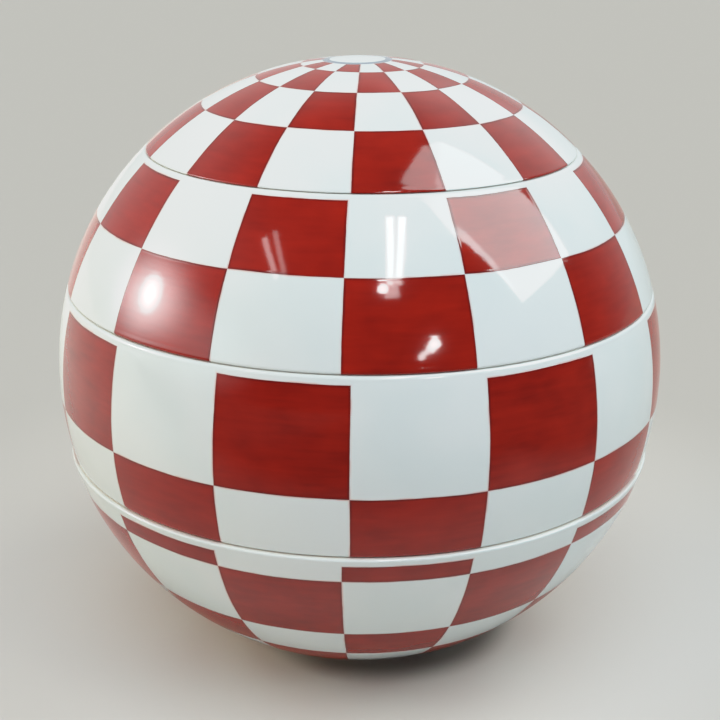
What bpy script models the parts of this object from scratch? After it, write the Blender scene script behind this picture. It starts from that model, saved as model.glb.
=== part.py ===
"""Ball-shaped porcelain jubako: a lid and three food tiers that stack into a sphere.

Four turned porcelain pieces share one upright axis. The table is at z = 0 and +Z is up.
Each piece is one profile, carried round the axis by a Screw modifier.
"""

import math

import bmesh
import bpy
import numpy as np

# Heights of the pieces as they stand stacked, in metres
LID_HEIGHT = 0.0260
UPPER_TIER_HEIGHT = 0.0400
MIDDLE_TIER_HEIGHT = 0.0501
BOTTOM_TIER_HEIGHT = 0.0669

# The ball and its foot
BODY_RADIUS = 0.0925
RIM_LEDGE = 0.0010
FOOT_RADIUS = 0.0315
FOOT_STAND = 0.0025
FOOT_WIDTH = 0.0050
FOOT_RECESS = 0.0034

# Porcelain thickness
WALL = 0.0045
FLOOR = 0.0050
FLOOR_RECESS = 0.0002

# The locating ring under the lid and under the two loose tiers
RING_DEPTH = 0.0040
RING_WIDTH = 0.0036
RING_CLEARANCE = 0.0010
SEAT_GAP = 0.0003

# Softened edges and inside corners, and the most of a leg that one of them may take
RIM_EASE = 0.0016
SEAT_EASE = 0.0014
RING_EASE = 0.0010
FLOOR_SWEEP = 0.0060
FOOT_EASE = 0.0010
EASE_SHARE = 0.45

# How finely the turned shapes are cut
TURN_STEPS = 64
ARC_STEP = math.radians(8.0)
EASE_POINTS = 1
SWEEP_POINTS = 3
MERGE_DISTANCE = 0.00001

# Heights of the joints between the pieces, from the table up
MIDDLE_SEAM = BOTTOM_TIER_HEIGHT
UPPER_SEAM = MIDDLE_SEAM + MIDDLE_TIER_HEIGHT
LID_SEAM = UPPER_SEAM + UPPER_TIER_HEIGHT
CROWN_HEIGHT = LID_SEAM + LID_HEIGHT

# The ball is an ellipse that ends at the crown and meets the foot
LEDGE_RADIUS = BODY_RADIUS + RIM_LEDGE
FOOT_DROP = math.sqrt(1.0 - (FOOT_RADIUS / LEDGE_RADIUS) ** 2)
HALF_HEIGHT = (CROWN_HEIGHT - FOOT_STAND - RIM_LEDGE * FOOT_DROP) / (1.0 + FOOT_DROP)
CENTRE_HEIGHT = CROWN_HEIGHT - HALF_HEIGHT

PORCELAIN_WHITE = (0.82, 0.84, 0.83, 1.0)
GLAZE_ROUGHNESS = 0.12


def ball_radius(height, inset):
    """Radius at a height of the ball drawn in by inset: an ellipse's half width there."""
    rise = (height - CENTRE_HEIGHT) / (HALF_HEIGHT - inset)
    return (BODY_RADIUS - inset) * math.sqrt(max(0.0, 1.0 - rise * rise))


def ball_height(radius, inset):
    """Height at which the upper half of the ball drawn in by inset has that radius."""
    share = radius / (BODY_RADIUS - inset)
    return CENTRE_HEIGHT + (HALF_HEIGHT - inset) * math.sqrt(max(0.0, 1.0 - share * share))


def ball_arc(start_height, end_height, inset):
    """Points along the ball drawn in by inset, evenly spaced in angle, with one at the widest."""
    tall = HALF_HEIGHT - inset
    start = math.acos(max(-1.0, min(1.0, (start_height - CENTRE_HEIGHT) / tall)))
    end = math.acos(max(-1.0, min(1.0, (end_height - CENTRE_HEIGHT) / tall)))
    stops = [start, end]
    if (start - math.pi / 2) * (end - math.pi / 2) < 0:
        stops.insert(1, math.pi / 2)
    angles = [np.array([start])]
    for a, b in zip(stops, stops[1:]):
        count = max(1, round(abs(b - a) / ARC_STEP))
        angles.append(np.linspace(a, b, count + 1)[1:])
    angle = np.concatenate(angles)
    return np.stack([(BODY_RADIUS - inset) * np.sin(angle), CENTRE_HEIGHT + tall * np.cos(angle)], 1)


def straight(start, end):
    """A straight leg between two (radius, height) points."""
    return np.array([start, end], float)


def leg_length(leg):
    return float(np.hypot(*np.diff(leg, axis=0).T).sum())


def trimmed(leg, off_start, off_end):
    """The leg without its first off_start and last off_end, measured along it."""
    along = np.concatenate([[0.0], np.cumsum(np.hypot(*np.diff(leg, axis=0).T))])
    low, high = off_start, along[-1] - off_end
    inside = (along > low + MERGE_DISTANCE) & (along < high - MERGE_DISTANCE)
    ends = [np.array([np.interp(at, along, leg[:, i]) for i in (0, 1)]) for at in (low, high)]
    return np.vstack([ends[0], leg[inside], ends[1]])


def eased(before, corner, after, count):
    """Points of the curve that rounds a corner, between its two ends."""
    t = np.linspace(0.0, 1.0, count + 2)[1:-1, None]
    return (1 - t) ** 2 * before + 2 * t * (1 - t) * corner + t * t * after


def outline(legs, eases):
    """Joins legs end to end and rounds the corner after each by its own ease, within the legs."""
    cuts = []
    for first, second, ease in zip(legs, legs[1:], eases):
        cuts.append(min(ease, EASE_SHARE * leg_length(first), EASE_SHARE * leg_length(second)))
    points = []
    for i, leg in enumerate(legs):
        off_start = cuts[i - 1] if i else 0.0
        off_end = cuts[i] if i < len(cuts) else 0.0
        part = trimmed(leg, off_start, off_end)
        if i and cuts[i - 1] > 0:
            count = SWEEP_POINTS if eases[i - 1] >= FLOOR_SWEEP else EASE_POINTS
            points.extend(eased(points[-1], leg[0], part[0], count))
            points.extend(part)
        else:
            points.extend(part if not i else part[1:])
    return points


def ring_radius(seam):
    """Outer radius of a locating ring that drops through the mouth below this seam."""
    mouth = min(ball_radius(seam, WALL), ball_radius(seam - RING_DEPTH, WALL))
    return mouth - RING_CLEARANCE


def mouth_legs(seam, ledge):
    """A tier's mouth, from its inner wall's top across the rim to its outer side."""
    inner = (ball_radius(seam, WALL), seam)
    outer = (ball_radius(seam, -ledge), seam)
    return straight(inner, outer)


def seat_legs(seam, under_height):
    """From the outer side's lower edge inwards: the seat, then the locating ring's three sides."""
    seat = seam + SEAT_GAP
    foot = seam - RING_DEPTH
    outer = ring_radius(seam)
    inner = outer - RING_WIDTH
    return [
        straight((ball_radius(seat, 0.0), seat), (outer, seat)),
        straight((outer, seat), (outer, foot)),
        straight((outer, foot), (inner, foot)),
        straight((inner, foot), (inner, under_height)),
    ]


def lid_outline():
    """Down the outside from the crown, round the seat and ring, and up the inside of the dome."""
    dome_foot = ring_radius(LID_SEAM) - RING_WIDTH
    dome_height = ball_height(dome_foot, WALL)
    legs = [ball_arc(CROWN_HEIGHT, LID_SEAM + SEAT_GAP, 0.0)]
    legs += seat_legs(LID_SEAM, dome_height)
    legs.append(ball_arc(dome_height, CROWN_HEIGHT - WALL, WALL))
    return outline(legs, [SEAT_EASE, 0.0, RING_EASE, RING_EASE, RIM_EASE])


def loose_tier_outline(low_seam, high_seam):
    """From the middle of the floor out, up the inner wall, over the rim and down to the ring."""
    under = low_seam + SEAT_GAP + FLOOR_RECESS
    floor = under + FLOOR
    corner = (ball_radius(floor, WALL), floor)
    legs = [
        straight((0.0, floor), corner),
        ball_arc(floor, high_seam, WALL),
        mouth_legs(high_seam, 0.0),
        ball_arc(high_seam, low_seam + SEAT_GAP, 0.0),
    ]
    legs += seat_legs(low_seam, under)
    legs.append(straight(legs[-1][-1], (0.0, under)))
    return outline(legs, [FLOOR_SWEEP, RIM_EASE, RIM_EASE, SEAT_EASE, 0.0, RING_EASE, RING_EASE, 0.0])


def bottom_tier_outline():
    """From the middle of the bowl out, up its inner wall, over the rim and down to the foot."""
    floor = FOOT_RECESS + FLOOR
    corner = (ball_radius(floor, WALL), floor)
    foot_inner = FOOT_RADIUS - FOOT_WIDTH
    legs = [
        straight((0.0, floor), corner),
        ball_arc(floor, MIDDLE_SEAM, WALL),
        mouth_legs(MIDDLE_SEAM, RIM_LEDGE),
        ball_arc(MIDDLE_SEAM, FOOT_STAND, -RIM_LEDGE),
        straight((FOOT_RADIUS, FOOT_STAND), (FOOT_RADIUS, 0.0)),
        straight((FOOT_RADIUS, 0.0), (foot_inner, 0.0)),
        straight((foot_inner, 0.0), (foot_inner, FOOT_RECESS)),
        straight((foot_inner, FOOT_RECESS), (0.0, FOOT_RECESS)),
    ]
    return outline(legs, [FLOOR_SWEEP, RIM_EASE, RIM_EASE, FOOT_EASE, FOOT_EASE, FOOT_EASE, FOOT_EASE])


def glazed_porcelain(name):
    """White glazed porcelain for one piece."""
    material = bpy.data.materials.new(name + "_porcelain")
    material.use_nodes = True
    material.diffuse_color = PORCELAIN_WHITE
    shader = material.node_tree.nodes["Principled BSDF"]
    shader.inputs["Base Color"].default_value = PORCELAIN_WHITE
    shader.inputs["Roughness"].default_value = GLAZE_ROUGHNESS
    shader.inputs["Metallic"].default_value = 0.0
    return material


def turned_piece(name, points, seat_height, collection, parent):
    """A profile in the XZ plane, turned round the axis; its origin is on the axis at its seat."""
    shape = bmesh.new()
    chain = [shape.verts.new((radius, 0.0, height - seat_height)) for radius, height in points]
    for first, second in zip(chain, chain[1:]):
        shape.edges.new((first, second))
    mesh = bpy.data.meshes.new(name)
    shape.to_mesh(mesh)
    shape.free()
    mesh.materials.append(glazed_porcelain(name))
    piece = bpy.data.objects.new(name, mesh)
    collection.objects.link(piece)
    piece.parent = parent
    piece.location = (0.0, 0.0, seat_height)
    turn = piece.modifiers.new("turned", "SCREW")
    turn.axis = "Z"
    turn.steps = TURN_STEPS
    turn.render_steps = TURN_STEPS
    turn.use_merge_vertices = True
    turn.merge_threshold = MERGE_DISTANCE
    turn.use_smooth_shade = True
    turn.use_normal_calculate = False
    return piece


def remove_old_objects():
    for old in list(bpy.data.objects):
        bpy.data.objects.remove(old, do_unlink=True)


def build():
    remove_old_objects()
    collection = bpy.data.collections.new("porcelain_jubako")
    bpy.context.scene.collection.children.link(collection)
    axis = bpy.data.objects.new("stack_axis", None)
    collection.objects.link(axis)
    turned_piece("bottom_tier", bottom_tier_outline(), 0.0, collection, axis)
    middle = loose_tier_outline(MIDDLE_SEAM, UPPER_SEAM)
    turned_piece("middle_tier", middle, MIDDLE_SEAM + SEAT_GAP, collection, axis)
    upper = loose_tier_outline(UPPER_SEAM, LID_SEAM)
    turned_piece("upper_tier", upper, UPPER_SEAM + SEAT_GAP, collection, axis)
    turned_piece("lid", lid_outline(), LID_SEAM + SEAT_GAP, collection, axis)


build()
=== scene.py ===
"""The finish of a ball-shaped porcelain jubako: a lid, two loose tiers and a bottom tier.

Each piece is one line turned about the upright axis, glazed white and painted with an
iron-red check. The frame gives the seams and the ball's width, and a studio stands round it.
Angles round the ball start at the side that faces the camera and grow towards +X.
"""

import math

import bpy
import numpy as np
from bpy.props import (
    FloatProperty,
    FloatVectorProperty,
    IntProperty,
    PointerProperty,
)
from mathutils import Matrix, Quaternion, Vector


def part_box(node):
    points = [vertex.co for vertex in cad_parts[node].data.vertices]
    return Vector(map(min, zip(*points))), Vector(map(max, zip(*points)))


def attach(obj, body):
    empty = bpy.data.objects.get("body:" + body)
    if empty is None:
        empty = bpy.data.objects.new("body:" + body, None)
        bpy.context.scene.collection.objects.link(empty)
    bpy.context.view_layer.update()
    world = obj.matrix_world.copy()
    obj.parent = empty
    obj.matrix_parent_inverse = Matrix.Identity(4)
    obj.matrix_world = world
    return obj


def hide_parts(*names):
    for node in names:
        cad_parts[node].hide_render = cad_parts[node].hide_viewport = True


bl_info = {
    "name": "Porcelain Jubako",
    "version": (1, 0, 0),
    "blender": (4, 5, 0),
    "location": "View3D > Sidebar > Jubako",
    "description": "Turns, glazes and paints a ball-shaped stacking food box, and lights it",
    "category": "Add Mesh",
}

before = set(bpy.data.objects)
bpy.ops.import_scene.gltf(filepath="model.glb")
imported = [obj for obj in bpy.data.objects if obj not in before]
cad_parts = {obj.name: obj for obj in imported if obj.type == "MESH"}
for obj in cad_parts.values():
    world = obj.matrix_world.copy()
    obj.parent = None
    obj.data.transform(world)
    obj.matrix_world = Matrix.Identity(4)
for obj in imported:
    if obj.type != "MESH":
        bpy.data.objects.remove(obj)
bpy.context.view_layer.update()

# What the frame says of the pieces, in metres from the table
MM = 0.001
MIDDLE_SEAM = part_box("bottom_tier")[1].z
UPPER_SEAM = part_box("middle_tier")[1].z
LID_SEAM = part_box("upper_tier")[1].z
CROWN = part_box("lid")[1].z
BALL_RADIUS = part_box("middle_tier")[1].x
RING_DEPTH = MIDDLE_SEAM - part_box("middle_tier")[0].z

# How finely the turned lines are cut
ARC_POINTS = 400
EASE_STEPS = 7
EASE_SHARE = 0.45

# The finish that each stretch of a line wears, glossiest first, as its material slot
PAINTED, GLAZED, BARE = range(3)

# Attributes of the meshes: mm along the line from bare porcelain, and place on a round card
RIM_DISTANCE = "rim_distance"
CARD_PLACE = "card_place"

# The nodes that the pieces stand for, from the top
NODES = ("lid", "upper_tier", "middle_tier", "bottom_tier")


def radians(*degrees):
    return tuple(math.radians(value) for value in degrees)


def length(name, description, millimetres):
    """A length property whose default is given in millimetres."""
    return FloatProperty(
        name=name, description=description, default=millimetres * MM, unit="LENGTH", precision=5
    )


def angle(name, description, value):
    """An angle property whose default is given in degrees."""
    return FloatProperty(
        name=name, description=description, default=math.radians(value), subtype="ANGLE"
    )


def angles(name, description, *values):
    """A row of angles, whose defaults are given in degrees."""
    return FloatVectorProperty(
        name=name, description=description, default=radians(*values), size=len(values), subtype="NONE"
    )


def colour(name, description, *value):
    return FloatVectorProperty(
        name=name, description=description, default=value, size=3, subtype="COLOR", min=0.0, max=1.0
    )


def number(name, description, value):
    return FloatProperty(name=name, description=description, default=value)


class JubakoBody(bpy.types.PropertyGroup):
    """Sizes of the turned porcelain."""

    wall: length("Wall", "Thickness of the porcelain wall", 4.5)
    floor: length("Floor", "Thickness of a tier's floor", 5.0)
    floor_recess: length("Floor Recess", "How far a floor's underside lies above its seat", 0.38)
    ring_width: length("Ring Width", "Thickness of a locating ring", 3.6)
    ring_clearance: length("Ring Clearance", "Play of a locating ring in the mouth below", 1.0)
    seat_gap: length("Seat Gap", "Space between a seat and the rim below", 0.12)
    rim_ledge: length("Rim Ledge", "How far the bottom tier stands proud of the ball", 1.0)
    foot_radius: length("Foot Radius", "Outer radius of the foot ring", 31.5)
    foot_stand: length("Foot Stand", "Height at which the ball meets the foot", 2.5)
    foot_width: length("Foot Width", "Thickness of the foot ring", 5.0)
    foot_recess: length("Foot Recess", "Height of the underside within the foot ring", 3.4)
    rim_ease: length("Rim Ease", "Length of the rounding at a rim", 1.0)
    seat_ease: length("Seat Ease", "Length of the rounding at a seat's outer edge", 1.1)
    ring_ease: length("Ring Ease", "Length of the rounding on a locating ring and foot", 1.0)
    corner_ease: length("Corner Ease", "Length of the fillet where a ring leaves its seat", 0.4)
    floor_sweep: length("Floor Sweep", "Length of the sweep from floor to wall", 6.0)
    draw_in: length("Draw In", "How far the skin is drawn in to leave room for its waves", 0.1)
    warp: length("Warp", "How far firing has pulled the round out of true", 0.04)
    spacing: length("Spacing", "Distance between points along a turned line", 1.8)
    columns: IntProperty(
        name="Columns", description="Steps of the turned surfaces round the axis", default=360, min=32
    )


class JubakoPaint(bpy.types.PropertyGroup):
    """Layout and colours of the painted check, its rows as angles down from the crown."""

    cells: IntProperty(
        name="Cells Round", description="Cells of the check round the ball", default=16, min=2
    )
    lid_rows: angles("Lid Rows", "Where the lid's rows of cells change", 11.2, 19.7, 30.6)
    upper_rows: angles("Upper Tier Rows", "Top of the paint, then where its rows change", 45.0, 58.2)
    middle_rows: angles("Middle Tier Rows", "Top of the paint, then where its rows change", 74.7, 93.4)
    bottom_rows: angles(
        "Bottom Tier Rows",
        "Top of the paint, where its rows change, then its lower end",
        106.1, 109.6, 125.5, 136.2, 147.5, 154.0, 158.0,
    )
    turns: angles("Turns", "Turn of each check about the axis, from the lid down", -2.4, -2.96, -1.37, -2.7)
    disc_radius: length("Crown Disc", "Radius of the white disc on the crown", 10.3)
    disc_offset: length("Disc Offset", "How far the disc lies off the axis, towards -X", 1.4)
    disc_line: length("Disc Line", "Width of the grey-blue line round the disc", 2.2)
    outline: length("Outline", "Width of the darker brush line round each red cell", 0.6)
    wobble: length("Wobble", "How far the hand-drawn edges stray", 0.22)
    white: colour("Glaze White", "Glazed porcelain", 0.745, 0.845, 0.85)
    pool: colour("Glaze Pool", "Glaze where it lies thick", 0.66, 0.79, 0.80)
    red: colour("Iron Red", "Red enamel where it lies thin", 0.385, 0.015, 0.0065)
    deep_red: colour("Deep Iron Red", "Red enamel where it lies thick", 0.195, 0.006, 0.0035)
    dust: colour("Red Dust", "What the red enamel's grains scatter at a glance", 1.0, 0.2, 0.12)
    dusting: number("Dusting", "How much the red enamel scatters at a glance", 0.2)
    line_red: colour("Outline Red", "Brush line round each red cell", 0.13, 0.006, 0.006)
    depths: FloatVectorProperty(
        name="Enamel Depths", description="How thick the red lies on each piece, from the lid down",
        default=(0.48, 0.42, 0.60, 0.76), size=4, min=0.0, max=1.0,
    )
    pink: colour("Wash", "Red enamel rubbed thin over the white", 0.72, 0.42, 0.38)
    line_blue: colour("Line Blue", "The line round the crown's disc", 0.15, 0.20, 0.28)
    biscuit: colour("Biscuit", "Bare fired porcelain", 0.77, 0.74, 0.68)
    flash: colour("Fire Flash", "Warm tint where thin glaze meets bare porcelain", 0.80, 0.72, 0.60)
    speck: colour("Speck", "Iron specks in the glaze", 0.20, 0.16, 0.12)
    refraction: number("Glaze Refraction", "Refractive index of the lead-free glaze", 1.52)


class JubakoStudio(bpy.types.PropertyGroup):
    """Floor, lights and camera."""

    # Painted pool of light: the floor is painted lighter near the ball and dimmer further off
    painted_lit_floor: colour("Near Floor", "The pale floor round the ball", 0.665, 0.65, 0.61)
    painted_dim_floor: colour("Far Floor", "The pale floor further off", 0.455, 0.445, 0.415)
    backdrop: colour("Backdrop", "Seen past the floor, as light as the lit floor", 0.544, 0.544, 0.505)
    # Painted shadow: the floor's colour in the deep shade round the foot
    painted_foot_shadow: colour("Under Floor", "The floor in the deep shade round the foot", 0.22, 0.22, 0.20)
    floor_radius: length("Floor Radius", "Radius of the round floor", 6000.0)
    window: number("Window Light", "Soft light from the right and above", 1.27)
    lamp: number("Lamp Light", "Soft warm light from the left", 1.36)
    front: number("Front Light", "Soft light from high behind the camera", 1.76)
    low_front: number("Low Front Light", "Faint warm light from low behind the camera", 0.45)
    right: number("Low Right Light", "Soft light from low on the right", 0.45)
    room_dark: number("Dark Side", "Brightness of the room behind the camera", 0.08)
    room_bright: number("Bright Side", "Brightness of the room's far walls", 0.66)
    room_patch: number("Bright Patch", "Added brightness of the wall behind and right of the ball", 0.50)
    window_shine: number("Window Shine", "Brightness of the window as the glaze shows it", 7.2)
    lamp_shine: number("Lamp Shine", "Brightness of the lamp as the glaze shows it", 22.0)
    wall_shine: number("Wall Shine", "Brightness of the pale wall at the left in the glaze", 1.6)
    tube_shine: number("Tube Shine", "Brightness of the near tube lamps in the glaze", 20.0)
    far_tube_shine: number("Far Tube Shine", "Brightness of the far tube lamps in the glaze", 6.5)
    bulb_shine: number("Bulb Shine", "Brightness of the small lamps in the glaze", 36.0)
    card_distance: length("Card Distance", "From the ball to what the glaze shows", 2500.0)
    camera_height: angle("Camera Height", "Angle of the camera above the ball's centre", 19.84)
    camera_distance: length("Camera Distance", "From the ball's centre to the camera", 427.6)
    camera_roll: angle("Camera Roll", "Turn of the picture about its middle", -0.516)
    focal_pixels: number("Focal Length", "In pixels of a picture 720 pixels wide", 1359.1)
    centre_pixels: FloatVectorProperty(
        name="Centre Offset", description="Where the ball's centre lands, right and down from the middle",
        default=(-0.41, -4.25), size=2,
    )


# Turned surfaces

# How firing bends the round: turns, share, phase and drift of each wave, and where they fade
FIRING_WAVES = ((2, 0.55, 0.4, 1.9), (3, 0.30, 2.1, -2.6), (5, 0.20, 4.0, 3.7), (8, 0.12, 1.2, -5.0))
STILL_RADIUS, WAVY_RADIUS = 0.010, 0.040


class Ball:
    """The ball's shape: an ellipse about the upright axis that meets the crown and the foot.

    Drawn in by an inset i, it is r = (R - i) sqrt(1 - ((z - c) / (H - i))^2).
    """

    def __init__(self, body):
        widest = BALL_RADIUS + body.rim_ledge
        drop = math.sqrt(1.0 - (body.foot_radius / widest) ** 2)
        self.half_height = (CROWN - body.foot_stand - body.rim_ledge * drop) / (1.0 + drop)
        self.centre = CROWN - self.half_height

    def radius(self, height, inset):
        rise = (height - self.centre) / (self.half_height - inset)
        return (BALL_RADIUS - inset) * math.sqrt(max(0.0, 1.0 - rise * rise))

    def height(self, radius, inset):
        """Height of the upper half at a radius."""
        share = radius / (BALL_RADIUS - inset)
        return self.centre + (self.half_height - inset) * math.sqrt(1.0 - share * share)

    def arc(self, start, end, inset):
        """Points (R sin p, c + H cos p) for even angles p from one height to another."""
        tall = self.half_height - inset
        low, high = (math.acos(max(-1.0, min(1.0, (z - self.centre) / tall))) for z in (start, end))
        polar = np.linspace(low, high, ARC_POINTS)
        return np.stack([(BALL_RADIUS - inset) * np.sin(polar), self.centre + tall * np.cos(polar)], 1)


def ring_radius(ball, body, seam):
    """Outer radius of a locating ring that drops through the mouth below this seam."""
    mouth = min(ball.radius(seam, body.wall), ball.radius(seam - RING_DEPTH, body.wall))
    return mouth - body.ring_clearance


def seat_legs(ball, body, seam, under):
    """From the outer side's lower edge inwards: the seat, then the locating ring's three sides."""
    seat, tip = seam + body.seat_gap, seam - RING_DEPTH
    outer = ring_radius(ball, body, seam)
    inner = outer - body.ring_width
    return [
        ([(ball.radius(seat, body.draw_in), seat), (outer, seat)], BARE),
        ([(outer, seat), (outer, tip)], GLAZED),
        ([(outer, tip), (inner, tip)], BARE),
        ([(inner, tip), (inner, under)], GLAZED),
    ]


def hollow_legs(ball, body, floor, seam, skin):
    """From the middle of a floor out, up the inner wall and over the rim to the outer side."""
    wall_foot, lip = ball.radius(floor, body.wall), ball.radius(seam, body.wall)
    return [
        ([(0.0, floor), (wall_foot, floor)], GLAZED),
        (ball.arc(floor, seam, body.wall), GLAZED),
        ([(lip, seam), (ball.radius(seam, skin), seam)], BARE),
    ]


def lid_line(ball, body):
    """Down the outside from the crown, round the seat and ring, and up the inside of the dome."""
    dome_radius = ring_radius(ball, body, LID_SEAM) - body.ring_width
    dome_height = ball.height(dome_radius, body.wall)
    crown = ball.centre + ball.half_height
    legs = [(ball.arc(crown - body.draw_in, LID_SEAM + body.seat_gap, body.draw_in), PAINTED)]
    legs += seat_legs(ball, body, LID_SEAM, dome_height)
    legs.append((ball.arc(dome_height, crown - body.wall, body.wall), GLAZED))
    eases = [body.seat_ease, body.corner_ease, body.ring_ease, body.ring_ease, body.rim_ease]
    return joined(legs, eases, body.spacing)


def loose_tier_line(ball, body, low_seam, high_seam):
    """From the middle of the floor out, up the inner wall, over the rim and down to the ring."""
    under = low_seam + body.seat_gap + body.floor_recess
    legs = hollow_legs(ball, body, under + body.floor, high_seam, body.draw_in)
    legs.append((ball.arc(high_seam, low_seam + body.seat_gap, body.draw_in), PAINTED))
    legs += seat_legs(ball, body, low_seam, under)
    legs.append(([legs[-1][0][-1], (0.0, under)], GLAZED))
    ring = [body.corner_ease, body.ring_ease, body.ring_ease, body.corner_ease]
    eases = [body.floor_sweep, body.rim_ease, body.rim_ease, body.seat_ease, *ring]
    return joined(legs, eases, body.spacing)


def bottom_tier_line(ball, body):
    """From the middle of the bowl out, up its inner wall, over the rim and down to the foot."""
    skin = body.draw_in - body.rim_ledge
    foot, foot_inner = body.foot_radius, body.foot_radius - body.foot_width
    side = ball.arc(MIDDLE_SEAM, body.foot_stand, skin)
    legs = hollow_legs(ball, body, body.foot_recess + body.floor, MIDDLE_SEAM, skin)
    legs += [
        (side, PAINTED),
        ([side[-1], (foot, 0.0)], GLAZED),
        ([(foot, 0.0), (foot_inner, 0.0)], BARE),
        ([(foot_inner, 0.0), (foot_inner, body.foot_recess)], GLAZED),
        ([(foot_inner, body.foot_recess), (0.0, body.foot_recess)], GLAZED),
    ]
    eases = [body.floor_sweep, body.rim_ease, body.rim_ease, *[body.ring_ease] * 4]
    return joined(legs, eases, body.spacing)


def lengths_along(line):
    """Length of the line from its start to each of its points."""
    return np.concatenate([[0.0], np.cumsum(np.hypot(*np.diff(line, axis=0).T))])


def resampled(line, along, start, end, spacing):
    """Even points of the line between two lengths along it."""
    at = np.linspace(start, end, max(3, math.ceil((end - start) / spacing) + 1))
    return np.stack([np.interp(at, along, line[:, 0]), np.interp(at, along, line[:, 1])], 1)


def joined(legs, eases, spacing):
    """Joins legs end to end as one line of (radius, height) points, with each stretch's finish.

    The corner c between two legs is rounded by (1 - t)^2 a + 2 t (1 - t) c + t^2 b, from a to b,
    the points one ease before and after it, and wears the glossier finish of the two.
    """
    lines = [np.array(line, float) for line, _ in legs]
    lengths = [lengths_along(line) for line in lines]
    cuts = [0.0]
    for first, second, ease in zip(lengths, lengths[1:], eases):
        cuts.append(min(ease, EASE_SHARE * first[-1], EASE_SHARE * second[-1]))
    cuts.append(0.0)
    points, finishes = [], []
    for i, (line, along) in enumerate(zip(lines, lengths)):
        body = resampled(line, along, cuts[i], along[-1] - cuts[i + 1], spacing)
        if i:
            t = np.linspace(0.0, 1.0, EASE_STEPS + 1)[1:-1, None]
            points.append((1 - t) ** 2 * points[-1][-1] + 2 * t * (1 - t) * line[0] + t * t * body[0])
            finishes += [min(legs[i - 1][1], legs[i][1])] * EASE_STEPS
        points.append(body)
        finishes += [legs[i][1]] * (len(body) - 1)
    return np.vstack(points), np.array(finishes)


def swell(radius, height, around, warp):
    """Out-of-round of a fired wall: warp times the sum of share cos(turns a + phase + drift z / R).

    A smooth step s^2 (3 - 2 s) of the radius fades it out towards the axis.
    """
    fade = np.clip((radius - STILL_RADIUS) / (WAVY_RADIUS - STILL_RADIUS), 0.0, 1.0)
    fade = fade * fade * (3.0 - 2.0 * fade)
    waves = sum(
        share * np.cos(turns * around + phase + drift * height / BALL_RADIUS)
        for turns, share, phase, drift in FIRING_WAVES
    )
    return warp * fade * waves


def turned(name, line, finishes, body):
    """The line turned about the axis: (r cos a, r sin a, z) for even angles a, closed at both poles."""
    count = body.columns
    around = np.linspace(0.0, 2.0 * math.pi, count, endpoint=False)
    radius, height = line[1:-1, 0, None], line[1:-1, 1, None]
    radius = radius + swell(radius, height, around[None, :], body.warp)
    grid = np.stack([radius * np.cos(around), radius * np.sin(around), height + 0.0 * radius], -1)
    places = np.vstack([(0.0, 0.0, line[0, 1]), grid.reshape(-1, 3), (0.0, 0.0, line[-1, 1])])
    index = 1 + np.arange(grid.shape[0] * count).reshape(-1, count)
    beside = np.roll(index, -1, 1)
    walls = np.stack([index[:-1], index[1:], beside[1:], beside[:-1]], -1).reshape(-1, 4)
    start = np.stack([np.zeros(count, int), index[0], beside[0]], -1)
    end = np.stack([index[-1], np.full(count, len(places) - 1), beside[-1]], -1)
    mesh = bpy.data.meshes.new(name)
    mesh.from_pydata(places, [], [*start.tolist(), *walls.tolist(), *end.tolist()])
    mesh.polygons.foreach_set("material_index", np.repeat(finishes, count).astype(np.int32))
    mesh.shade_smooth()
    along = lengths_along(line)
    bare = np.union1d(np.flatnonzero(finishes == BARE), np.flatnonzero(finishes == BARE) + 1)
    off = np.abs(along[:, None] - along[None, bare]).min(1) / MM
    distance = np.concatenate([off[:1], np.repeat(off[1:-1], count), off[-1:]])
    attribute = mesh.attributes.new(RIM_DISTANCE, "FLOAT", "POINT")
    attribute.data.foreach_set("value", distance.astype(np.float32))
    mesh.update()
    return mesh


def add_piece(scene, node, line, rows, seams=(), **check):
    """Turns a line between seams into the glazed and painted piece that stands for a node."""
    body, paint = scene.jubako_body, scene.jubako_paint
    ball = Ball(body)
    mesh = turned("glazed_" + node, *line(ball, body, *seams), body)
    painted = painted_glaze(node, paint, ball.centre, rows, **check)
    for material in (painted, plain_glaze(paint), bare_biscuit(paint)):
        mesh.materials.append(material)
    piece = bpy.data.objects.new(mesh.name, mesh)
    scene.collection.objects.link(piece)
    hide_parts(node)
    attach(piece, node)


# Shader nodes

# How nodes are laid out in the editor: space between them, and how many stand in a column
NODE_STEP = 190
NODE_ROWS = 5

# Noises: size of their blobs in metres, and how much finer detail they hold
BROAD_HAND, FINE_HAND = (0.020, 1.0), (0.0035, 2.0)
PRESSURE, WEAR, STREAKS, BLOTS = (0.010, 2.0), (0.007, 1.0), (0.012, 3.0), (0.011, 2.0)
SWELLS, DIMPLES, POOLS, DULL_SPOTS = (0.016, 1.0), (0.0028, 1.0), (0.034, 2.0), (0.006, 4.0)
GRAIN, STAINS = (0.0005, 3.0), (0.009, 3.0)

# Levels of a noise between which the line is pressed, the enamel worn, the glaze thick or dull, and
# the biscuit stained
PRESSED, WORN = (0.30, 0.65), (0.42, 0.62)
THICK, DULL, STAINED = (0.40, 0.70), (0.35, 0.75), (0.45, 0.75)

# How the broad and the fine noise move hand-drawn edges, and how far apart their two samples lie
BROAD_STRAY, FINE_STRAY = 2.6, 0.45
STRAY_SHIFTS = 0.31, 0.77

# The painted check, in mm: least radius at which its columns are told apart, half width of a blurred
# edge, and how far beyond it the enamel is rubbed, with the least that shows and what wear adds
LEAST_GIRTH = 4.0
EDGE_BLUR = 0.07
RUBBED_EDGE = -0.55, -0.05
LEAST_RUBBED, WORN_RUBBED = 0.25, 0.45

# The outline: where it starts and where it is full, in widths of it, the least that shows and what
# pressing adds
OUTLINE_START, OUTLINE_FULL = 1.3, 0.5
LEAST_OUTLINE, PRESSED_OUTLINE = 0.40, 0.45

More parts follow.
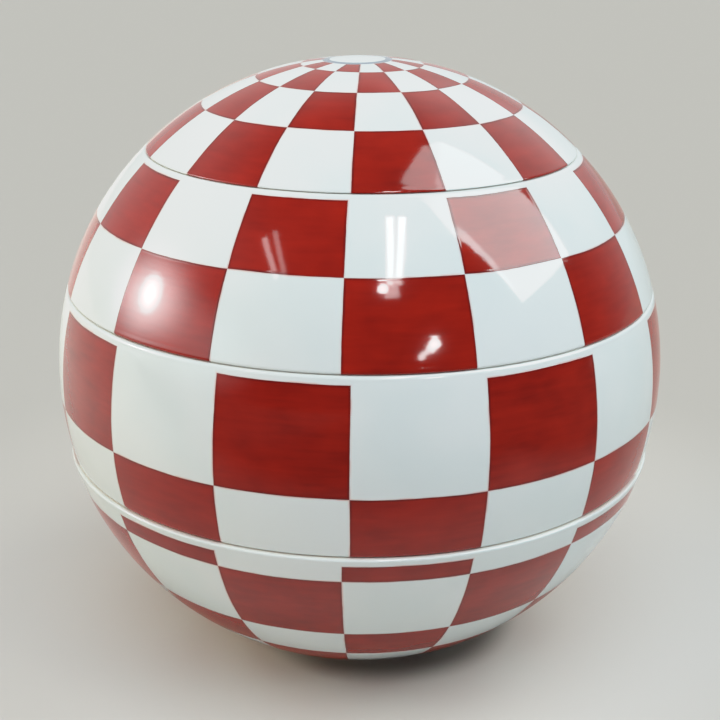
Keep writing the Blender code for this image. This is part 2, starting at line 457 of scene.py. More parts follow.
# The enamel: its build in mm with what streaks and outlines add, and how streaks and blots tone it.
# Streaks lie level, as noise squeezed upright
ENAMEL_BUILD, STREAK_BUILD, LINE_BUILD = 0.022, 0.012, 0.010
STREAK_TONE, BLOT_TONE = 0.8, 0.9
STREAK_SQUEEZE = (1.0, 1.0, 7.0)

# The line round the crown's disc: how far its edges blur out and in, in mm, and how it covers
LINE_BLUR_OUT, LINE_BLUR_IN = 0.15, 0.25
LINE_COVER = 0.85

# The glaze in mm: its ripple and peel, and where it thins and rolls up by bare porcelain
RIPPLE, PEEL = 0.030, 0.0016
THIN_EDGE, ROLL_START, ROLL_END = (1.1, 0.1), (0.0, 0.9), (2.8, 1.0)
ROLL_HEIGHT = 0.05
GRAIN_HEIGHT = 0.03

# Specks: size in metres of the cells that they are scattered in, and the share that hold one. Then, in
# cells, the least radius, what chance adds to it and the radius of the full dark, and a pit's mm
GLAZE_SPECKS = {"Size": 0.016, "Share": 0.10}
BISCUIT_SPECKS = {"Size": 0.004, "Share": 0.15}
LEAST_SPECK, SPECK_SPREAD, SPECK_CORE = 0.02, 0.035, 0.01
PIT_DEPTH = 0.02

# How strongly thick glaze, thin glaze, specks and stains tint what they lie on
POOL_TINT, FLASH_TINT, SPECK_TINT, STAIN_TINT = 0.55, 0.45, 0.6, 0.6
BARE_SPECK_TINT = 0.5

# Roughness of each finish where it is smoothest, and how much rougher it gets
GLAZE_ROUGHNESS, GLAZE_DULLING = 0.045, 0.03
RED_ROUGHNESS, RED_DULLING = 0.055, 0.03
BISCUIT_ROUGHNESS, BISCUIT_GRAIN = 0.62, 0.2
THIN_GLAZE_ROUGHNESS = 0.30


class Wiring:
    """Adds nodes to one node tree and joins them, each input a value or another node's output."""

    def __init__(self, tree):
        self.tree = tree
        self.count = 0

    def node(self, kind, inputs, **settings):
        made = self.tree.nodes.new(kind)
        made.location = (NODE_STEP * (self.count // NODE_ROWS), -NODE_STEP * (self.count % NODE_ROWS))
        self.count += 1
        for name, value in settings.items():
            setattr(made, name, value)
        for key, value in inputs.items():
            if isinstance(value, bpy.types.NodeSocket):
                self.tree.links.new(value, made.inputs[key])
            else:
                made.inputs[key].default_value = value
        return made

    def math(self, operation, *values):
        return self.node("ShaderNodeMath", dict(enumerate(values)), operation=operation).outputs[0]

    def times(self, first, second):
        return self.math("MULTIPLY", first, second)

    def scaled(self, value, share, start):
        """start + share * value."""
        return self.math("MULTIPLY_ADD", value, share, start)

    def vectors(self, operation, *values):
        return self.node("ShaderNodeVectorMath", dict(enumerate(values)), operation=operation).outputs

    def step(self, value, low, high):
        """0 at low, 1 at high and a smooth step between; low may be the greater."""
        inputs = {"Value": value, "From Min": low, "From Max": high}
        return self.node("ShaderNodeMapRange", inputs, interpolation_type="SMOOTHSTEP").outputs[0]

    def mixed(self, share, first, second):
        """The number first where share is 0 and second where it is 1."""
        return self.node("ShaderNodeMix", {0: share, 2: first, 3: second}).outputs[0]

    def tinted(self, share, first, second):
        """The colour first where share is 0 and second where it is 1."""
        first, second = (c if isinstance(c, bpy.types.NodeSocket) else (*c, 1.0) for c in (first, second))
        return self.node("ShaderNodeMix", {0: share, 6: first, 7: second}, data_type="RGBA").outputs[2]

    def noise(self, place, size, detail):
        """Soft noise from 0 to 1 with blobs of about that size in metres."""
        inputs = {"Vector": place, "Scale": 1.0 / size, "Detail": detail}
        return self.node("ShaderNodeTexNoise", inputs).outputs["Fac"]

    def group(self, tree, **inputs):
        """The outputs of one of the shared groups, placed with these inputs."""
        return self.node("ShaderNodeGroup", inputs, node_tree=tree).outputs


def shared_group(name, inputs, outputs, fill):
    """The node group of that name, made once, each socket a number but for the vector Place.

    fill wires the inputs and returns the outputs in order.
    """
    tree = bpy.data.node_groups.get(name)
    if tree:
        return tree
    tree = bpy.data.node_groups.new(name, "ShaderNodeTree")
    for way, labels in (("INPUT", inputs), ("OUTPUT", outputs)):
        for label in labels:
            kind = "NodeSocketVector" if label == "Place" else "NodeSocketFloat"
            tree.interface.new_socket(name=label, in_out=way, socket_type=kind)
    wires = Wiring(tree)
    entry = tree.nodes.new("NodeGroupInput")
    results = fill(wires, *entry.outputs[: len(inputs)])
    leave = tree.nodes.new("NodeGroupOutput")
    entry.location = (-NODE_STEP, 0)
    leave.location = (NODE_STEP * (2 + wires.count // NODE_ROWS), 0)
    for label, result in zip(outputs, results):
        tree.links.new(result, leave.inputs[label])
    return tree


def ball_place():
    """A place on the ball: its angles round and down from the crown, and its radius there in mm."""

    def fill(wires, place, centre):
        split = wires.node("ShaderNodeSeparateXYZ", {0: place}).outputs
        front = wires.times(split["Y"], -1.0)
        squares = (wires.math("POWER", side, 2.0) for side in (split["X"], front))
        girth = wires.math("SQRT", wires.math("ADD", *squares))
        rise = wires.math("SUBTRACT", split["Z"], centre)
        down = wires.math("ARCTAN2", girth, rise)
        return wires.math("ARCTAN2", split["X"], front), down, wires.times(girth, 1.0 / MM)

    return shared_group("Place on the Ball", ["Place", "Centre"], ["Round", "Down", "Girth"], fill)


def hand_wobble():
    """How far a hand-drawn edge strays, in mm, sideways and downwards."""

    def fill(wires, place, amount):
        strays = []
        for shift in STRAY_SHIFTS:
            moved = wires.vectors("ADD", place, (shift, shift, -shift))["Vector"]
            broad = wires.math("SUBTRACT", wires.noise(moved, *BROAD_HAND), 0.5)
            fine = wires.math("SUBTRACT", wires.noise(moved, *FINE_HAND), 0.5)
            both = wires.scaled(fine, FINE_STRAY, wires.times(broad, BROAD_STRAY))
            strays.append(wires.times(both, amount))
        return strays

    return shared_group("Hand Wobble", ["Place", "Amount"], ["Sideways", "Downwards"], fill)


def painted_columns():
    """Columns round the ball: mm from the nearest column edge, positive in every other column."""

    def fill(wires, around, girth, cells, turn, stray):
        cell = wires.math("DIVIDE", 2.0 * math.pi, cells)
        width = wires.times(wires.math("MAXIMUM", girth, LEAST_GIRTH), cell)
        at = wires.math("DIVIDE", wires.math("SUBTRACT", around, turn), cell)
        at = wires.math("ADD", wires.math("ADD", at, 0.5), wires.math("DIVIDE", stray, width))
        wave = wires.math("SUBTRACT", wires.math("PINGPONG", at, 1.0), 0.5)
        return (wires.times(wave, width),)

    inputs = ["Round", "Girth", "Cells", "Turn", "Stray"]
    return shared_group("Painted Columns", inputs, ["Pattern"], fill)


def crossed_row():
    """Swaps red and white above a row edge, keeping mm from the nearest edge of either kind."""

    def fill(wires, pattern, below):
        least = wires.math("MINIMUM", wires.math("ABSOLUTE", pattern), wires.math("ABSOLUTE", below))
        sign = wires.times(wires.math("SIGN", pattern), wires.math("SIGN", below))
        return (wires.times(least, sign),)

    return shared_group("Crossed Row", ["Pattern", "Below"], ["Pattern"], fill)


def red_brushwork():
    """Iron-red enamel over a pattern in mm: its cover, wash, tone, outline and build in mm."""

    def fill(wires, place, pattern, outline, depth):
        cover = wires.step(pattern, -EDGE_BLUR, EDGE_BLUR)
        start, full = (wires.times(outline, share) for share in (OUTLINE_START, OUTLINE_FULL))
        line = wires.step(pattern, start, full)
        pressed = wires.step(wires.noise(place, *PRESSURE), *PRESSED)
        worn = wires.step(wires.noise(place, *WEAR), *WORN)
        rubbed = wires.times(wires.step(pattern, *RUBBED_EDGE), wires.math("SUBTRACT", 1.0, cover))
        rubbed = wires.times(rubbed, wires.scaled(worn, WORN_RUBBED, LEAST_RUBBED))
        drawn = wires.vectors("MULTIPLY", place, STREAK_SQUEEZE)["Vector"]
        streaks = wires.noise(drawn, *STREAKS)
        blots = wires.noise(place, *BLOTS)
        tone = wires.scaled(streaks, STREAK_TONE, wires.times(blots, BLOT_TONE))
        tone = wires.math("SUBTRACT", tone, 0.5 * (STREAK_TONE + BLOT_TONE))
        tone = wires.node("ShaderNodeClamp", {"Value": wires.math("ADD", tone, depth)}).outputs[0]
        build = wires.scaled(line, LINE_BUILD, wires.scaled(streaks, STREAK_BUILD, ENAMEL_BUILD))
        line = wires.times(line, wires.scaled(pressed, PRESSED_OUTLINE, LEAST_OUTLINE))
        return cover, rubbed, tone, line, wires.times(cover, build)

    inputs = ["Place", "Pattern", "Outline", "Depth"]
    return shared_group("Red Brushwork", inputs, ["Cover", "Rubbed", "Tone", "Line", "Build"], fill)


def glaze_skin():
    """A fired glaze: its ripple in mm, where it lies thick, and how it dulls from place to place."""

    def fill(wires, place):
        swells = wires.noise(place, *SWELLS)
        dimples = wires.noise(place, *DIMPLES)
        ripple = wires.scaled(dimples, PEEL, wires.times(swells, RIPPLE))
        thick = wires.step(wires.noise(place, *POOLS), *THICK)
        dull = wires.step(wires.noise(place, *DULL_SPOTS), *DULL)
        return ripple, thick, dull

    return shared_group("Glaze Skin", ["Place"], ["Ripple", "Thick", "Dull"], fill)


def glaze_edge():
    """Glaze drawn back from bare porcelain: how thin it is, and the low roll behind its edge in mm."""

    def fill(wires, distance):
        thin = wires.step(distance, *THIN_EDGE)
        roll = wires.times(wires.step(distance, *ROLL_START), wires.step(distance, *ROLL_END))
        return thin, wires.times(roll, ROLL_HEIGHT)

    return shared_group("Glaze Edge", ["Distance"], ["Thin", "Roll"], fill)


def kiln_specks():
    """Scattered specks: a share of the cells of that size hold one dark spot and its tiny pit in mm."""

    def fill(wires, place, size, share):
        scale = wires.math("DIVIDE", 1.0, size)
        cells = wires.node("ShaderNodeTexVoronoi", {"Vector": place, "Scale": scale})
        chance = wires.node("ShaderNodeSeparateColor", {0: cells.outputs["Color"]}).outputs
        chosen = wires.math("LESS_THAN", chance["Red"], share)
        reach = wires.scaled(chance["Green"], SPECK_SPREAD, LEAST_SPECK)
        spot = wires.times(chosen, wires.step(cells.outputs["Distance"], reach, SPECK_CORE))
        return spot, wires.times(spot, -PIT_DEPTH)

    return shared_group("Kiln Specks", ["Place", "Size", "Share"], ["Spot", "Pit"], fill)


def new_material(name, tint, refraction):
    """A material with one Principled shader, and the wiring and place to drive it with."""
    material = bpy.data.materials.new(name)
    material.use_nodes = True
    material.diffuse_color = (*tint, 1.0)
    shader = material.node_tree.nodes["Principled BSDF"]
    shader.inputs["IOR"].default_value = refraction
    wires = Wiring(material.node_tree)
    place = wires.node("ShaderNodeTexCoord", {}).outputs["Object"]
    return material, shader, wires, place


def set_finish(wires, shader, tint, roughness, height):
    """Feeds a shader its colour, its roughness and a surface height in mm."""
    wires.tree.links.new(tint, shader.inputs["Base Color"])
    wires.tree.links.new(roughness, shader.inputs["Roughness"])
    bump = wires.node("ShaderNodeBump", {"Height": height, "Distance": MM, "Strength": 1.0})
    wires.tree.links.new(bump.outputs[0], shader.inputs["Normal"])


def white_skin(wires, place, paint):
    """The plain glaze: its colour, roughness and height in mm, with thick, thin and specked places."""
    skin = wires.group(glaze_skin(), Place=place)
    distance = wires.node("ShaderNodeAttribute", {}, attribute_name=RIM_DISTANCE).outputs["Fac"]
    edge = wires.group(glaze_edge(), Distance=distance)
    specks = wires.group(kiln_specks(), Place=place, **GLAZE_SPECKS)
    tint = wires.tinted(wires.times(skin["Thick"], POOL_TINT), paint.white, paint.pool)
    tint = wires.tinted(wires.times(edge["Thin"], FLASH_TINT), tint, paint.flash)
    tint = wires.tinted(wires.times(specks["Spot"], SPECK_TINT), tint, paint.speck)
    roughness = wires.scaled(skin["Dull"], GLAZE_DULLING, GLAZE_ROUGHNESS)
    roughness = wires.mixed(edge["Thin"], roughness, THIN_GLAZE_ROUGHNESS)
    height = wires.math("ADD", skin["Ripple"], wires.math("ADD", edge["Roll"], specks["Pit"]))
    return tint, roughness, height


def plain_glaze(paint):
    """White glaze with no paint, inside the tiers and under them. Made once."""
    if "white_glaze" in bpy.data.materials:
        return bpy.data.materials["white_glaze"]
    material, shader, wires, place = new_material("white_glaze", paint.white, paint.refraction)
    set_finish(wires, shader, *white_skin(wires, place, paint))
    return material


def bare_biscuit(paint):
    """Unglazed porcelain on seats, rims and the foot, fine-grained and a little stained. Made once."""
    if "bare_biscuit" in bpy.data.materials:
        return bpy.data.materials["bare_biscuit"]
    material, shader, wires, place = new_material("bare_biscuit", paint.biscuit, paint.refraction)
    grain = wires.noise(place, *GRAIN)
    stain = wires.step(wires.noise(place, *STAINS), *STAINED)
    specks = wires.group(kiln_specks(), Place=place, **BISCUIT_SPECKS)
    tint = wires.tinted(wires.times(stain, STAIN_TINT), paint.biscuit, paint.flash)
    tint = wires.tinted(wires.times(specks["Spot"], BARE_SPECK_TINT), tint, paint.speck)
    roughness = wires.scaled(grain, BISCUIT_GRAIN, BISCUIT_ROUGHNESS)
    height = wires.scaled(grain, GRAIN_HEIGHT, specks["Pit"])
    set_finish(wires, shader, tint, roughness, height)
    return material


def painted_glaze(node, paint, centre, rows, red_first=True, top=None, low=None, crown_disc=False):
    """White glaze under an iron-red check, on the piece that stands for a node.

    rows are the angles down from the crown at which red and white swap, and top and low the
    angles that the paint keeps between. red_first says that the lowest row is red just right of
    the turn. crown_disc leaves a white disc with a thin line round it on the crown.
    """
    material, shader, wires, place = new_material(node + "_check", paint.red, paint.refraction)
    turn, depth = (row[NODES.index(node)] for row in (paint.turns, paint.depths))
    ball = wires.group(ball_place(), Place=place, Centre=centre)
    stray = wires.group(hand_wobble(), Place=place, Amount=paint.wobble / MM)
    radius = BALL_RADIUS / MM

    def below(edge):
        """Mm that a point lies below an angle down from the crown."""
        off = wires.times(wires.math("SUBTRACT", ball["Down"], edge), radius)
        return wires.math("ADD", off, stray["Downwards"])

    first_turn = turn if red_first else turn + 2.0 * math.pi / paint.cells
    pattern = wires.group(
        painted_columns(), Round=ball["Round"], Girth=ball["Girth"], Cells=paint.cells,
        Turn=first_turn, Stray=stray["Sideways"],
    )["Pattern"]
    for edge in rows:
        pattern = wires.group(crossed_row(), Pattern=pattern, Below=below(edge))["Pattern"]
    if top is not None:
        pattern = wires.math("MINIMUM", pattern, below(top))
    if low is not None:
        pattern = wires.math("MINIMUM", pattern, wires.times(below(low), -1.0))
    if crown_disc:
        moved = wires.vectors("ADD", place, (paint.disc_offset, 0.0, 0.0))["Vector"]
        off_disc = wires.group(ball_place(), Place=moved, Centre=centre)["Girth"]
        off_disc = wires.math("SUBTRACT", off_disc, paint.disc_radius / MM)
        pattern = wires.math("MINIMUM", pattern, off_disc)
    brush = wires.group(
        red_brushwork(), Place=place, Pattern=pattern, Outline=paint.outline / MM, Depth=depth
    )
    white, roughness, height = white_skin(wires, place, paint)
    if crown_disc:
        half = 0.5 * paint.disc_line / MM
        line = wires.math("ABSOLUTE", wires.math("ADD", off_disc, half))
        line = wires.step(line, half + LINE_BLUR_OUT, half - LINE_BLUR_IN)
        white = wires.tinted(wires.times(line, LINE_COVER), white, paint.line_blue)
    red = wires.tinted(brush["Tone"], paint.red, paint.deep_red)
    red = wires.tinted(brush["Line"], red, paint.line_red)
    tint = wires.tinted(brush["Rubbed"], white, paint.pink)
    tint = wires.tinted(brush["Cover"], tint, red)
    dull_red = wires.scaled(brush["Tone"], RED_DULLING, RED_ROUGHNESS)
    roughness = wires.mixed(brush["Cover"], roughness, dull_red)
    set_finish(wires, shader, tint, roughness, wires.math("ADD", height, brush["Build"]))
    shader.inputs["Sheen Tint"].default_value = (*paint.dust, 1.0)
    dusted = wires.times(brush["Cover"], paint.dusting)
    wires.tree.links.new(dusted, shader.inputs["Sheen Weight"])
    return material


# Studio

# Corners of the floor and of a round card
ROUND_CORNERS = 96

# The floor: its refraction and, in metres from the axis, where its painted pool of light fades and where
# the middle and edge of the painted shadow round the foot lie
FLOOR_REFRACTION = 1.45
PAINTED_LIGHT_FADE = 0.05, 0.25
SHADE_MIDDLE = (0.008, 0.0, 0.0)
SHADE_EDGE = 0.047, 0.035

# Painted reflection: the floor as only the glaze shows it, painted pale at the left and dark in front,
# beneath and at the right, for the room's light and shade
PAINTED_PALE_REFLECTION, PAINTED_DARK_REFLECTION = (0.90, 0.88, 0.82), (0.02, 0.02, 0.02)
PALE_LEFT = -0.12, -0.35
DARK_FRONT = -0.10, -0.30
DARK_BENEATH = 0.10, 0.06
DARK_RIGHT, DARK_RIGHT_FRONT = (0.15, 0.32), (0.06, -0.06)
DARKEST, HALF_DARK = 0.85, 0.5

# The soft lights, by their settings: degrees round, up and wide, and their colours
SOFT_LIGHTS = {
    "window": (78.0, 50.0, 50.0, (1.0, 0.955, 0.87)),
    "lamp": (-90.0, 20.0, 50.0, (1.0, 0.78, 0.50)),
    "front": (0.0, 62.0, 50.0, (0.745, 0.88, 1.0)),
    "low_front": (0.0, 5.0, 50.0, (1.0, 0.30, 0.22)),
    "right": (75.0, 8.0, 60.0, (0.50, 0.77, 1.0)),
}

# Colours of the light that the glaze shows, and how near a card lies that overlaps another
LAMPLIGHT = (1.0, 1.0, 1.0, 1.0)
DAYLIGHT = (0.80, 1.0, 1.0, 1.0)
ROOM_LIGHT = (0.96, 1.0, 1.0, 1.0)
NEARER = 0.98

# The window's panes: degrees round and up of their corners, share of its shine and nearness
LOW_PANE = (
    (67.7, 25.0), (100.8, 24.2), (106.5, 37.2), (111.0, 45.0), (131.8, 62.7), (59.5, 65.0), (56.7, 56.7),
)
HIGH_PANE = ((59.5, 65.0), (131.8, 62.7), (128.2, 69.4), (66.2, 77.3))
BRIGHT_PANE = ((56.7, 54.6), (67.1, 57.7), (73.2, 29.5), (66.7, 28.7))
PANES = {
    "low_pane_card": (LOW_PANE, 1.0, 1.0),
    "high_pane_card": (HIGH_PANE, 0.62, 1.0),
    "bright_pane_card": (BRIGHT_PANE, 1.75, NEARER),
}

# Round glows that fade out: degrees round, up and wide, squash and lean, the setting and the share
# of it that they shine with, their colour, fade and nearness
GLOWS = {
    "lamp_card": ((-89.6, 17.3, 6.4), (1.0, 0.0), "lamp_shine", 1.0, LAMPLIGHT, 0.7, 1.0),
    "left_wall_card": ((-60.0, 14.0, 26.0), (0.6, 0.0), "wall_shine", 1.0, DAYLIGHT, 0.8, 1.0),
    "lamp_halo_card": ((-88.8, 16.4, 42.7), (0.73, 0.31), "lamp_shine", 0.6, LAMPLIGHT, 6.1, NEARER),
}

# Straight lamps: degrees round and up of both ends, degrees wide, the setting and their share of it
STRIPS = {
    "near_tube_card_1": ((14.0, 43.6), (24.7, 68.0), 2.4, "tube_shine", 1.0),
    "near_tube_card_2": ((18.0, 43.9), (34.0, 66.8), 2.4, "tube_shine", 1.0),
    "tube_end_card": ((14.4, 44.2), (14.4, 39.2), 5.0, "tube_shine", 0.4),
    "far_tube_card_1": ((-57.3, 52.1), (-39.5, 41.8), 1.7, "far_tube_shine", 1.0),
    "far_tube_card_2": ((-54.7, 55.6), (-35.8, 43.2), 1.7, "far_tube_shine", 0.6),
    "bulb_body_card": ((29.6, 22.8), (25.6, 20.0), 3.0, "bulb_shine", 0.8),
    "bulb_tail_card": ((26.8, 20.8), (21.6, 17.6), 1.9, "bulb_shine", 0.5),
}

# Small round lamps: degrees round, up and wide, and the share of the bulbs' shine
BULBS = {"bulb_card_1": (28.4, 22.2, 1.8), "bulb_card_2": (10.4, 42.6, 1.7)}
BULB_SHARE = 0.9

# The room in the glaze: where its bright side and bright patch lie, in degrees round and up, and
# between which shares of each direction, and which heights overhead, the light changes
BRIGHT_SIDE, BRIGHT_LEAN = (-150.0, 0.0), (-0.5, 0.5)
PATCH_SIDE, PATCH_LEAN = (142.0, 37.0), (0.87, 0.97)
OVERHEAD, OVERHEAD_LOSS = (0.60, 0.95), 0.85

# The camera: its sensor in millimetres and the picture that its focal length counts in
SENSOR_WIDTH = 36.0
PICTURE_WIDTH = 720.0

# The tone curve: brightest light it takes, and the light and shown value of points on it
TONE_WHITE = 1.6
TONES = ((0.50, 0.50), (0.70, 0.685), (0.85, 0.79), (1.00, 0.832), (1.25, 0.885))


def towards(azimuth, elevation):
    """Unit vector from the ball, by degrees round from the camera's side towards +X and degrees up."""
    around, up = radians(azimuth, elevation)
    return Vector((math.sin(around) * math.cos(up), -math.cos(around) * math.cos(up), math.sin(up)))


def unit_circle():
    """Points (cos a, sin a, 0) for even angles a."""
    around = np.linspace(0.0, 2.0 * math.pi, ROUND_CORNERS, endpoint=False)
    return np.stack([np.cos(around), np.sin(around), 0.0 * around], 1)


def add_floor(studio):
    """A wide round matt floor at the foot's height, with a painted pool of light round the ball and a
    painted shadow round the foot. The glaze shows painted reflections of it, pale and dark.
    """
    mesh = bpy.data.meshes.new("studio_floor")
    mesh.from_pydata(studio.floor_radius * unit_circle(), [], [list(range(ROUND_CORNERS))])
    material, shader, wires, place = new_material("studio_floor", studio.painted_lit_floor, FLOOR_REFRACTION)
    off = wires.vectors("LENGTH", place)["Value"]
    # Painted pool of light: lighter near the ball, dimmer further off
    tint = wires.tinted(wires.step(off, *PAINTED_LIGHT_FADE), studio.painted_lit_floor, studio.painted_dim_floor)
    # Painted shadow, darker round the foot
    off_shade = wires.vectors("DISTANCE", place, SHADE_MIDDLE)["Value"]
    tint = wires.tinted(wires.step(off_shade, *SHADE_EDGE), tint, studio.painted_foot_shadow)
    # Painted reflection: only the glaze sees these pale and dark tints of the floor
    seen_in_glaze = wires.node("ShaderNodeLightPath", {}).outputs["Is Glossy Ray"]
    side = wires.node("ShaderNodeSeparateXYZ", {0: place}).outputs
    pale = wires.times(wires.step(side["X"], *PALE_LEFT), seen_in_glaze)
    tint = wires.tinted(pale, tint, PAINTED_PALE_REFLECTION)
    dark = wires.times(wires.step(side["Y"], *DARK_FRONT), DARKEST)
    beneath = wires.times(wires.step(off, *DARK_BENEATH), HALF_DARK)
    right = wires.times(wires.step(side["X"], *DARK_RIGHT), wires.step(side["Y"], *DARK_RIGHT_FRONT))
    dark = wires.math("MAXIMUM", dark, beneath)
    dark = wires.math("MAXIMUM", dark, wires.times(right, DARKEST))
    tint = wires.tinted(wires.times(dark, seen_in_glaze), tint, PAINTED_DARK_REFLECTION)
    wires.tree.links.new(tint, shader.inputs["Base Color"])
    shader.inputs["Roughness"].default_value = 1.0
    shader.inputs["Specular IOR Level"].default_value = 0.0
    mesh.materials.append(material)
    floor = bpy.data.objects.new("studio_floor", mesh)
    bpy.context.scene.collection.objects.link(floor)


def add_soft_light(name, azimuth, elevation, spread, tint, strength):
    """A wide soft light from one side. The glaze doesn't show it, because the cards stand for it."""
    light = bpy.data.lights.new(name, "SUN")
    light.energy = strength
    light.angle = math.radians(spread)
    light.color = tint
    lamp = bpy.data.objects.new(name, light)
    lamp.rotation_mode = "QUATERNION"
    lamp.rotation_quaternion = (-towards(azimuth, elevation)).to_track_quat("-Z", "Y")
    lamp.visible_glossy = False
    bpy.context.scene.collection.objects.link(lamp)


def glow_material(name, strength, tint, fade):
    """Light of one strength or, with a fade, of a strength that falls to 0 at a round card's edge.

    It is then strength s^fade, for a smooth step s from 0 at the edge to 1 in the middle.
    """
    material = bpy.data.materials.new(name)
    material.use_nodes = True
    tree = material.node_tree
    tree.nodes.remove(tree.nodes["Principled BSDF"])
    wires = Wiring(tree)
    power = strength
    if fade:
        place = wires.node("ShaderNodeAttribute", {}, attribute_name=CARD_PLACE).outputs["Vector"]
        off = wires.vectors("LENGTH", place)["Value"]
        power = wires.times(wires.math("POWER", wires.step(off, 1.0, 0.0), fade), strength)
    glow = wires.node("ShaderNodeEmission", {"Color": tint, "Strength": power}).outputs[0]
    if fade:
        clear = wires.node("ShaderNodeBsdfTransparent", {}).outputs[0]
        glow = wires.node("ShaderNodeAddShader", {0: glow, 1: clear}).outputs[0]
    tree.links.new(glow, tree.nodes["Material Output"].inputs["Surface"])
    return material


def add_card(name, studio, corners, strength, tint=LAMPLIGHT, fade=0.0, nearer=1.0):
    """A glowing card far from the ball that only the glaze shows, its corners in directions.

    A card with a fade is round: its corners are at even angles a, and hold (cos a, sin a).
    """
    distance = nearer * studio.card_distance
    middle = Vector((0.0, 0.0, 0.5 * CROWN))
    places = [middle + distance * way for way in corners]
    mesh = bpy.data.meshes.new(name)
    mesh.from_pydata(places, [], [list(range(len(places)))])
    mesh.materials.append(glow_material(name, strength, tint, fade))
    if fade:
        rim = unit_circle().astype(np.float32).ravel()
        mesh.attributes.new(CARD_PLACE, "FLOAT_VECTOR", "POINT").data.foreach_set("vector", rim)
    card = bpy.data.objects.new(name, mesh)
    for ray in ("camera", "diffuse", "transmission", "volume_scatter", "shadow"):
        setattr(card, "visible_" + ray, False)
    bpy.context.scene.collection.objects.link(card)


def disc(azimuth, elevation, radius, height=1.0, lean=0.0):
    """Directions of a round card's edge; height squashes it and lean shifts its top sideways."""
    way = towards(azimuth, elevation)
    turn = way.to_track_quat("Z", "Y")
    edge = math.tan(math.radians(radius)) * unit_circle() * (1.0, height, 0.0)
    return [way + turn @ Vector((x + lean * y, y, 0.0)) for x, y, _ in edge]


def strip(start, end, width):
    """Directions of the corners of a straight strip from one direction to another."""
    first, last = towards(*start), towards(*end)
    side = (last - first).cross(first + last).normalized() * math.tan(math.radians(width) / 2.0)
    return [first - side, first + side, last + side, last - side]


def add_reflections(studio):
    """The window, the pale wall and the lamps that the glaze shows."""
    for name, (corners, share, nearer) in PANES.items():
        ways = [towards(*corner) for corner in corners]
        add_card(name, studio, ways, share * studio.window_shine, DAYLIGHT, nearer=nearer)
    for name, (place, shape, shine, share, tint, fade, nearer) in GLOWS.items():
        strength = share * getattr(studio, shine)
        add_card(name, studio, disc(*place, *shape), strength, tint, fade, nearer)
    for name, (start, end, width, shine, share) in STRIPS.items():
        add_card(name, studio, strip(start, end, width), share * getattr(studio, shine))
    for name, place in BULBS.items():
        add_card(name, studio, disc(*place), BULB_SHARE * studio.bulb_shine, nearer=NEARER)


def add_room(studio):
    """The room as the glaze shows it: dark behind the camera, bright at the back and left.

    For a direction d, with b level and pointing back and left, the brightness is dark +
    bright step(d.b), and it falls off overhead. A patch p behind and right of the ball adds
    step(d.p) to it. The camera itself sees a plain pale backdrop.
    """
    world = bpy.data.worlds.new("studio_room")
    world.use_nodes = True
    wires = Wiring(world.node_tree)
    way = wires.node("ShaderNodeTexCoord", {}).outputs["Generated"]
    lean = wires.vectors("DOT_PRODUCT", way, towards(*BRIGHT_SIDE))["Value"]
    height = wires.node("ShaderNodeSeparateXYZ", {0: way}).outputs["Z"]
    overhead = wires.scaled(wires.step(height, *OVERHEAD), -OVERHEAD_LOSS, 1.0)
    wall = wires.times(wires.step(lean, *BRIGHT_LEAN), overhead)
    power = wires.scaled(wall, studio.room_bright, studio.room_dark)
    near = wires.vectors("DOT_PRODUCT", way, towards(*PATCH_SIDE))["Value"]
    power = wires.scaled(wires.step(near, *PATCH_LEAN), studio.room_patch, power)
    room = world.node_tree.nodes["Background"]
    world.node_tree.links.new(power, room.inputs["Strength"])
    room.inputs["Color"].default_value = ROOM_LIGHT
    plain = wires.node("ShaderNodeBackground", {"Color": (*studio.backdrop, 1.0), "Strength": 1.0})
    seen = wires.node("ShaderNodeLightPath", {}).outputs["Is Camera Ray"]
    both = wires.node("ShaderNodeMixShader", {0: seen, 1: room.outputs[0], 2: plain.outputs[0]})
    world.node_tree.links.new(both.outputs[0], world.node_tree.nodes["World Output"].inputs["Surface"])
    bpy.context.scene.world = world


def add_camera(studio, centre):
    """A camera that looks down at the ball's centre from the front."""
    target = Vector((0.0, 0.0, centre))
    place = target + studio.camera_distance * towards(0.0, math.degrees(studio.camera_height))
    data = bpy.data.cameras.new("studio_camera")
    data.sensor_width = SENSOR_WIDTH
    data.lens = SENSOR_WIDTH * studio.focal_pixels / PICTURE_WIDTH
    camera = bpy.data.objects.new("studio_camera", data)
    right, down = (c / studio.focal_pixels for c in studio.centre_pixels)
    look = (target - place).to_track_quat("-Z", "Y")
    aim = Vector((0.0, 0.0, -1.0)).rotation_difference(Vector((right, -down, -1.0)))
    roll = Quaternion((0.0, 0.0, 1.0), -studio.camera_roll)
    camera.rotation_mode = "QUATERNION"
    camera.rotation_quaternion = look @ aim.inverted() @ roll
    camera.location = place
    bpy.context.scene.collection.objects.link(camera)
    bpy.context.scene.camera = camera


def set_tone_curve(settings):
    """The camera's tone curve: straight in the dark and middle tones, and a soft shoulder above."""
    settings.view_transform = "Standard"
    settings.use_curve_mapping = True
    curve = settings.curve_mapping
    curve.white_level = [TONE_WHITE] * 3
    tones = curve.curves[3].points
    for light, shown in TONES:
        tones.new(light / TONE_WHITE, shown)
    curve.update()
    tones[0].handle_type = tones[1].handle_type = "VECTOR"
    curve.update()


class JUBAKO_OT_bottom_tier(bpy.types.Operator):
    """Turn, glaze and paint the bottom tier"""

    bl_idname = "jubako.bottom_tier"
    bl_label = "Bottom Tier"

    def execute(self, context):
        scene = context.scene
        top, *rows, low = scene.jubako_paint.bottom_rows
        add_piece(scene, "bottom_tier", bottom_tier_line, rows, red_first=False, top=top, low=low)
        return {"FINISHED"}


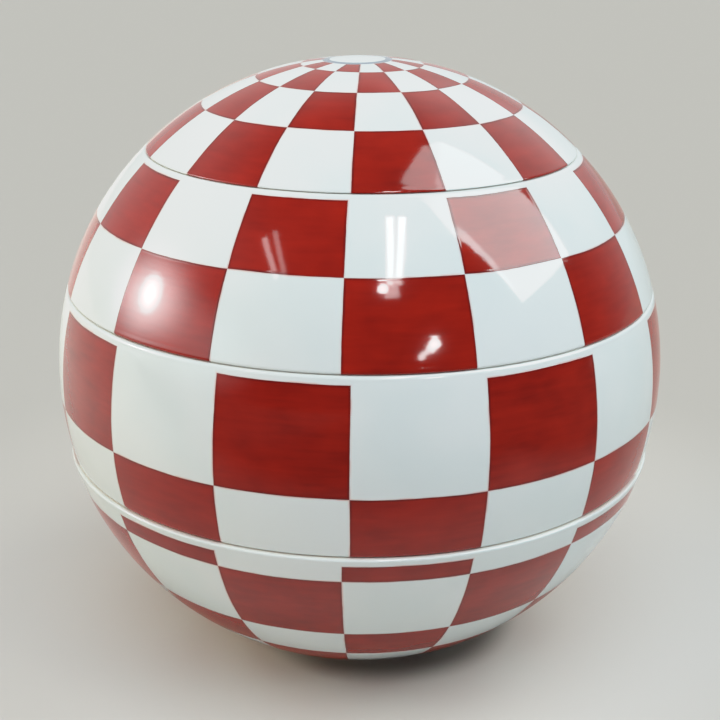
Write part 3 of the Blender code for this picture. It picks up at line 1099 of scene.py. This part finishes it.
class JUBAKO_OT_loose_tiers(bpy.types.Operator):
    """Turn, glaze and paint the middle and upper tiers"""

    bl_idname = "jubako.loose_tiers"
    bl_label = "Loose Tiers"

    def execute(self, context):
        scene = context.scene
        tiers = (
            ("middle_tier", (MIDDLE_SEAM, UPPER_SEAM), scene.jubako_paint.middle_rows),
            ("upper_tier", (UPPER_SEAM, LID_SEAM), scene.jubako_paint.upper_rows),
        )
        for node, seams, (top, *rows) in tiers:
            add_piece(scene, node, loose_tier_line, rows, seams, top=top)
        return {"FINISHED"}


class JUBAKO_OT_lid(bpy.types.Operator):
    """Turn, glaze and paint the lid"""

    bl_idname = "jubako.lid"
    bl_label = "Lid"

    def execute(self, context):
        scene = context.scene
        add_piece(scene, "lid", lid_line, scene.jubako_paint.lid_rows, crown_disc=True)
        return {"FINISHED"}


class JUBAKO_OT_studio(bpy.types.Operator):
    """Lay the floor, set the soft lights and place the camera"""

    bl_idname = "jubako.studio"
    bl_label = "Studio"

    def execute(self, context):
        studio = context.scene.jubako_studio
        add_floor(studio)
        add_room(studio)
        for name, light in SOFT_LIGHTS.items():
            add_soft_light(name + "_light", *light, getattr(studio, name))
        add_reflections(studio)
        add_camera(studio, Ball(context.scene.jubako_body).centre)
        set_tone_curve(context.scene.view_settings)
        return {"FINISHED"}


class VIEW3D_PT_jubako(bpy.types.Panel):
    """Sidebar panel that lists the pieces and the studio"""

    bl_label = "Porcelain Jubako"
    bl_space_type = "VIEW_3D"
    bl_region_type = "UI"
    bl_category = "Jubako"

    def draw(self, context):
        layout = self.layout
        for operator in OPERATORS:
            layout.operator(operator.bl_idname)
        scene = context.scene
        for settings in (scene.jubako_body, scene.jubako_paint, scene.jubako_studio):
            box = layout.box()
            for name in settings.__annotations__:
                box.prop(settings, name)


SETTINGS = {"jubako_body": JubakoBody, "jubako_paint": JubakoPaint, "jubako_studio": JubakoStudio}
OPERATORS = (JUBAKO_OT_bottom_tier, JUBAKO_OT_loose_tiers, JUBAKO_OT_lid, JUBAKO_OT_studio)
CLASSES = (*SETTINGS.values(), *OPERATORS, VIEW3D_PT_jubako)


def register():
    for cls in CLASSES:
        bpy.utils.register_class(cls)
    for name, group in SETTINGS.items():
        setattr(bpy.types.Scene, name, PointerProperty(type=group))


def unregister():
    for name in SETTINGS:
        delattr(bpy.types.Scene, name)
    for cls in reversed(CLASSES):
        bpy.utils.unregister_class(cls)


def main():
    register()
    bpy.ops.jubako.bottom_tier()
    bpy.ops.jubako.loose_tiers()
    bpy.ops.jubako.lid()
    bpy.ops.jubako.studio()


if __name__ == "__main__":
    main()
